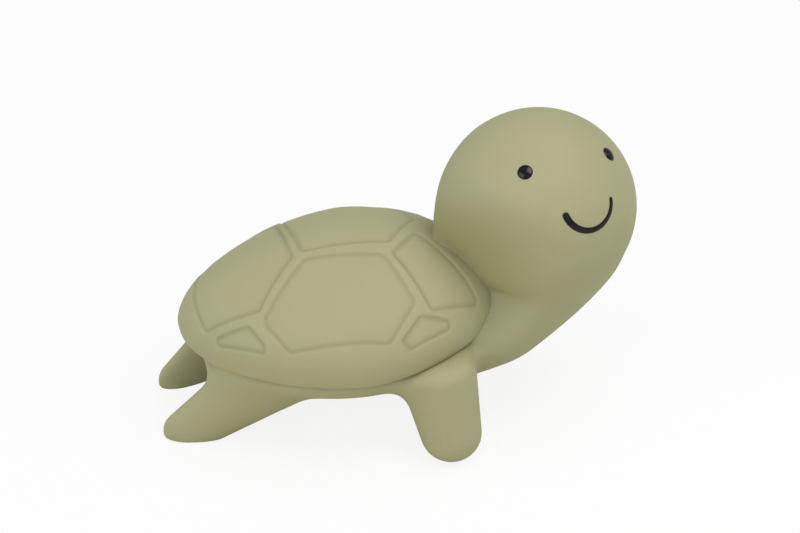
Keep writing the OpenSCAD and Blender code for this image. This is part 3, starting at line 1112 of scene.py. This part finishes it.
@dataclass(frozen=True)
class Face:
    """Painted eyes and smile on the head's ball."""

    head: Array
    head_r: float
    # Direction of the face in degrees
    yaw: float = -67.0
    pitch: float = 38.0
    # Eyes: radius, height over the ball, depth inside it, and share of the dome that the tip closes
    eye_r: float = 2.0
    eye_proud: float = 0.55
    eye_root: float = 0.6
    eye_tip: float = 0.04
    eye_rows: int = 14
    eye_columns: int = 40
    # Smile: its bow in degrees, its half widths, height and depth, and how blunt it ends
    smile_spread: float = 16.0
    smile_drop: float = 8.0
    smile_sag: float = 15.0
    smile_near: float = 0.95
    smile_far: float = 0.6
    smile_proud: float = 0.22
    smile_root: float = 0.5
    smile_blunt: float = 0.97
    smile_rows: int = 90
    smile_columns: int = 20
    enamel: PaintFinish = PaintFinish(
        "eye_paint", dark=(8, 8, 9), light=(16, 15, 15), roughness=0.16, coat=0.35
    )
    satin: PaintFinish = PaintFinish(
        "smile_paint", dark=(22, 19, 18), light=(34, 30, 28), roughness=0.45, coat=0.05
    )

    def eye(self, node: str, finish: Material) -> Piece:
        """One eye: a low dome over the ball, closed with a shallow root inside it.

        Args:
            node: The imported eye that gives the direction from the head's middle.
            finish: Material of the eye.

        Returns:
            The piece.
        """
        low, high = node_box(node)
        out = unit((low + high) / 2 - self.head)
        side = unit(np.cross([0, 0, 1.0], out))
        up = np.cross(out, side)
        swing = np.linspace(self.eye_tip, 1, self.eye_rows) * np.pi / 2
        reach = np.concatenate([np.sin(swing), np.sin(swing)[-2::-1]]) * self.eye_r
        lift = np.concatenate([np.cos(swing) * self.eye_proud, -np.cos(swing)[-2::-1] * self.eye_root])
        turn = np.linspace(0, 2 * np.pi, self.eye_columns, endpoint=False)
        ball = np.sqrt(self.head_r**2 - reach**2) + lift
        points = (
            self.head
            + ball[:, None, None] * out
            + reach[:, None, None] * (np.cos(turn)[:, None] * side + np.sin(turn)[:, None] * up)
        )
        tips = self.head + np.outer([self.head_r + self.eye_proud, self.head_r - self.eye_root], out)
        piece = write_mesh(f"{node}_dome", finish, *closed_tube(points, tips), {})
        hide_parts(node)
        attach(piece, Body.BODY.value)
        return piece

    def on_ball(self, across: Array, rise: Array) -> Array:
        """Directions from the head's middle at angles measured on the face.

        Args:
            across: Degrees to the face's left.
            rise: Degrees above its line of sight.

        Returns:
            Unit directions, one per row.
        """
        a, r = np.radians(across), np.radians(rise)
        d = np.stack([np.cos(a) * np.cos(r), np.sin(a) * np.cos(r), np.sin(r)], -1)
        yaw, pitch = math.radians(self.yaw), math.radians(self.pitch)
        turn = Matrix.Rotation(yaw, 3, "Z") @ Matrix.Rotation(-pitch, 3, "Y")
        return d @ np.array(turn).T

    def smile(self, finish: Material) -> Piece:
        """The smile: a flat bead swept along a bow on the ball, thicker at its near end, with round ends.

        Args:
            finish: Material of the smile.

        Returns:
            The piece.
        """
        s = np.linspace(0, 1, self.smile_rows)
        bow = np.pi * s
        out = self.on_ball(-self.smile_spread * np.cos(bow), -self.smile_drop - self.smile_sag * np.sin(bow))
        side = np.cross(out, unit(np.gradient(out, axis=0)))
        half = self.smile_near + (self.smile_far - self.smile_near) * s
        length = np.concatenate([[0], np.cumsum(np.linalg.norm(np.diff(out, axis=0), axis=1))]) * self.head_r
        end = np.minimum(length, length[-1] - length)
        full = np.sqrt(1 - np.clip(1 - end / half, 0, self.smile_blunt) ** 2)
        turn = np.linspace(0, 2 * np.pi, self.smile_columns, endpoint=False)
        lift = np.where(np.cos(turn) > 0, self.smile_proud, self.smile_root) * np.cos(turn)
        points = (
            self.head
            + out[:, None] * (self.head_r + full[:, None, None] * lift[:, None])
            + side[:, None] * (half * full)[:, None, None] * np.sin(turn)[:, None]
        )
        tips = np.stack([points[0].mean(0), points[-1].mean(0)])
        piece = write_mesh("smile_line", finish, *closed_tube(points, tips), {})
        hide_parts("smile")
        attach(piece, Body.BODY.value)
        return piece


@dataclass(frozen=True)
class Squeaker:
    """Plastic squeaker in the belly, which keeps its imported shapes."""

    plug: PlasticFinish = PlasticFinish(
        "squeaker_plastic", base=(228, 226, 216), streak=(214, 211, 198), roughness=0.4
    )
    reed: PlasticFinish = PlasticFinish(
        "reed_plastic", base=(214, 192, 134), streak=(198, 172, 110), roughness=0.3
    )
    plug_nodes: tuple[str, ...] = ("squeaker_housing", "reed_holder")
    reed_nodes: tuple[str, ...] = ("reed_wedge", "squeaker_reed")

    def dress(self, nodes: Mapping[str, Piece]) -> None:
        """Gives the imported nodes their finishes.

        Args:
            nodes: Packed objects by name.
        """
        for names, look in ((self.plug_nodes, self.plug), (self.reed_nodes, self.reed)):
            finish = look.make()
            for name in names:
                nodes[name].data.materials.clear()
                nodes[name].data.materials.append(finish)
                LOG.info("dressed %s", name)


@dataclass(frozen=True)
class Lamp:
    """One square soft light."""

    name: str
    place: Place
    size: float
    power: float


@dataclass(frozen=True)
class Studio:
    """White floor, soft light and the photograph's camera, in metres."""

    target: Place = (0.00075, 0.0001, 0.042)
    azimuth: float = -8.4
    elevation: float = 34.5
    distance: float = 0.6
    lens: float = 100.44
    sensor: float = 36.0
    floor_half: float = 4.0
    floor_white: float = 0.95
    floor_glow: float = 0.86
    sky: float = 0.41
    lamps: tuple[Lamp, ...] = (
        Lamp("key", place=(0.4, -0.2, 1.15), size=0.9, power=8.2),
        Lamp("fill", place=(-0.9, -0.5, 0.65), size=0.9, power=4.0),
    )

    def floor(self) -> None:
        """Lays a white floor that keeps a pale shadow: to the camera it partly glows."""
        tree = ShaderTree("floor")
        seen = tree.node("ShaderNodeLightPath", {}, {}, "Is Camera Ray")
        white = (*[self.floor_white] * 3, 1.0)
        plain = tree.node("ShaderNodeBsdfDiffuse", {}, {"Color": white})
        glow = tree.node("ShaderNodeEmission", {}, {"Color": WHITE, "Strength": 1.0})
        mixed = tree.node("ShaderNodeMixShader", {}, {0: seen * self.floor_glow, 1: plain, 2: glow})
        mesh = bpy.data.meshes.new("floor")
        h = self.floor_half
        mesh.from_pydata([(-h, -h, 0), (h, -h, 0), (h, h, 0), (-h, h, 0)], [], [(0, 1, 2, 3)])
        mesh.materials.append(tree.close(mixed))
        piece = bpy.data.objects.new("floor", mesh)
        bpy.context.scene.collection.objects.link(piece)
        piece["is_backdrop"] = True

    def light(self) -> None:
        """Sets an even sky and the lamps, aimed at the object."""
        world = bpy.data.worlds.new("studio")
        world.use_nodes = True
        sky = world.node_tree.nodes["Background"]
        sky.inputs["Color"].default_value = WHITE
        sky.inputs["Strength"].default_value = self.sky
        bpy.context.scene.world = world
        for lamp in self.lamps:
            data = bpy.data.lights.new(lamp.name, "AREA")
            data.size = lamp.size
            data.energy = lamp.power
            light = bpy.data.objects.new(lamp.name, data)
            light.location = lamp.place
            aim = Vector(self.target) - Vector(lamp.place)
            light.rotation_euler = aim.to_track_quat("-Z", "Y").to_euler()
            bpy.context.scene.collection.objects.link(light)

    def camera(self) -> None:
        """Stands the camera where the photograph was taken from."""
        a, e = math.radians(self.azimuth), math.radians(self.elevation)
        back = Vector((math.sin(a) * math.cos(e), -math.cos(a) * math.cos(e), math.sin(e)))
        right = Vector((math.cos(a), math.sin(a), 0))
        turn = Matrix((right, back.cross(right), back)).transposed().to_4x4()
        data = bpy.data.cameras.new("camera")
        data.lens = self.lens
        data.sensor_width = self.sensor
        data.dof.use_dof = False
        camera = bpy.data.objects.new("camera", data)
        camera.matrix_world = Matrix.Translation(Vector(self.target) + back * self.distance) @ turn
        bpy.context.scene.collection.objects.link(camera)
        bpy.context.scene.camera = camera

    def build(self) -> None:
        """Sets up everything around the object."""
        self.floor()
        self.light()
        self.camera()
        bpy.context.scene.view_settings.view_transform = "Standard"


def corners() -> list[list[float]]:
    """Returns the shown object's lowest and highest corner as plain lists."""
    return [[float(v) for v in corner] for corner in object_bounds()]


def main() -> None:
    """Builds the toy's looks in order and reports each piece."""
    logging.basicConfig(level=logging.INFO, format="%(name)s: %(message)s")
    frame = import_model()
    rubber = RubberFinish().make()
    form = ShellForm.from_frame()
    soft = SoftBody.from_frame(form)
    face = Face(soft.head, soft.head_r)
    enamel = face.enamel.make()
    satin = face.satin.make()
    made = [
        soft.build(rubber),
        Carapace(form).build(rubber),
        face.eye("left_eye", enamel),
        face.eye("right_eye", enamel),
        face.smile(satin),
    ]
    for piece in made:
        LOG.info("built %s with %d faces", piece.name, len(piece.data.polygons))
    Squeaker().dress(frame["nodes"])
    Studio().build()


if __name__ == "__main__":
    main()
